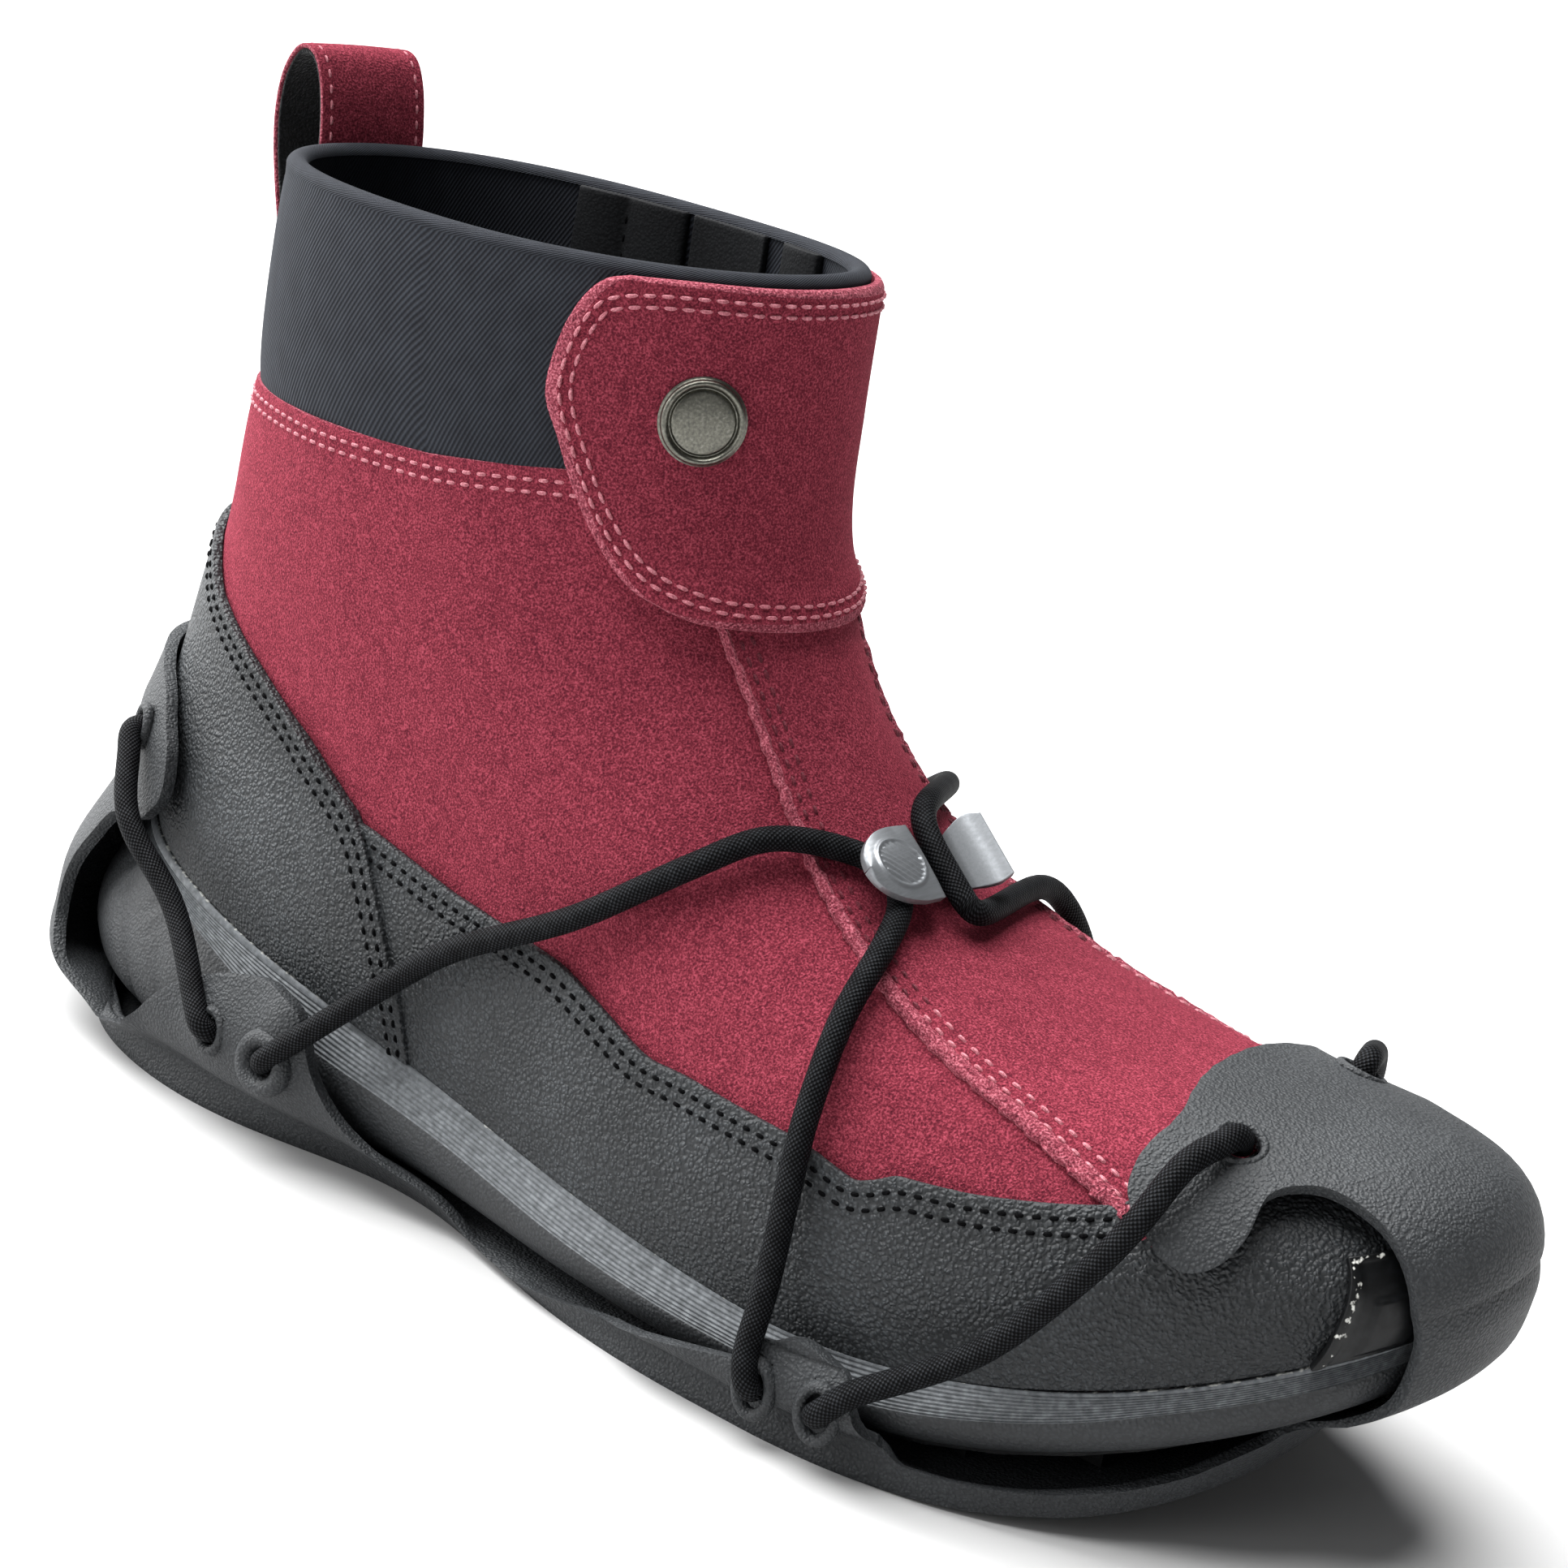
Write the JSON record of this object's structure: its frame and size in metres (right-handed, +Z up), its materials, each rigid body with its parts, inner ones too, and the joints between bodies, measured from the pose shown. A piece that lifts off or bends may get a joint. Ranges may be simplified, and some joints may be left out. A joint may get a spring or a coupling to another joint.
{
  "type": "overshoe on an ankle boot",
  "caption": "Right ankle boot in suede with knitted collar, side zip and pull loop, wearing a moulded rubber strap-on overshoe held by elastic cord and a metal hook.",
  "frame": {"origin": "on the floor under the middle of the heel tread", "axes": "+X to the toe, +Y to the inner side of the foot, +Z up"},
  "size_m": [0.3176, 0.125, 0.1994],
  "materials": {
    "suede": "napped suede, deep red",
    "neoprene": "knit-faced neoprene, navy black",
    "coated_leather": "pebbled coated leather, black",
    "midsole_foam": "moulded foam, ribbed, dark grey",
    "sole_rubber": "matt black rubber",
    "cover_rubber": "matt dark grey moulded rubber",
    "cord_textile": "braided elastic cord, black",
    "satin_metal": "satin",
    "zip_nylon": "woven tape and nylon coil, black",
    "insole_felt": "black felt"
  },
  "bodies": {
    "boot": {"midsole": "midsole_foam", "outsole": "sole_rubber", "insole": "insole_felt", "upper": "suede", "collar": "neoprene", "rand": "coated_leather", "heel_counter": "coated_leather", "toe_bumper": "sole_rubber", "ankle_flap": "suede", "flap_badge": "satin_metal", "pull_loop": "suede", "zip_tape": "zip_nylon", "zip_teeth": "zip_nylon", "zip_slider": "satin_metal", "overshoe_cover": "cover_rubber", "cord_hook": "satin_metal", "cord_outer_instep": "cord_textile", "cord_outer_toe": "cord_textile", "cord_outer_heel": "cord_textile", "cord_inner_instep": "cord_textile", "cord_inner_toe": "cord_textile", "cord_inner_heel": "cord_textile"},
    "pull": {"zip_pull": "satin_metal"}
  },
  "joints": [
    {"name": "zip_pull_swing", "type": "hinge", "parent": "boot", "child": "pull", "pos_m": [0.04784, 0.04338, 0.17394], "axis": [0.9664, -0.252, 0.0509], "range_deg": [0, 150]}
  ]
}
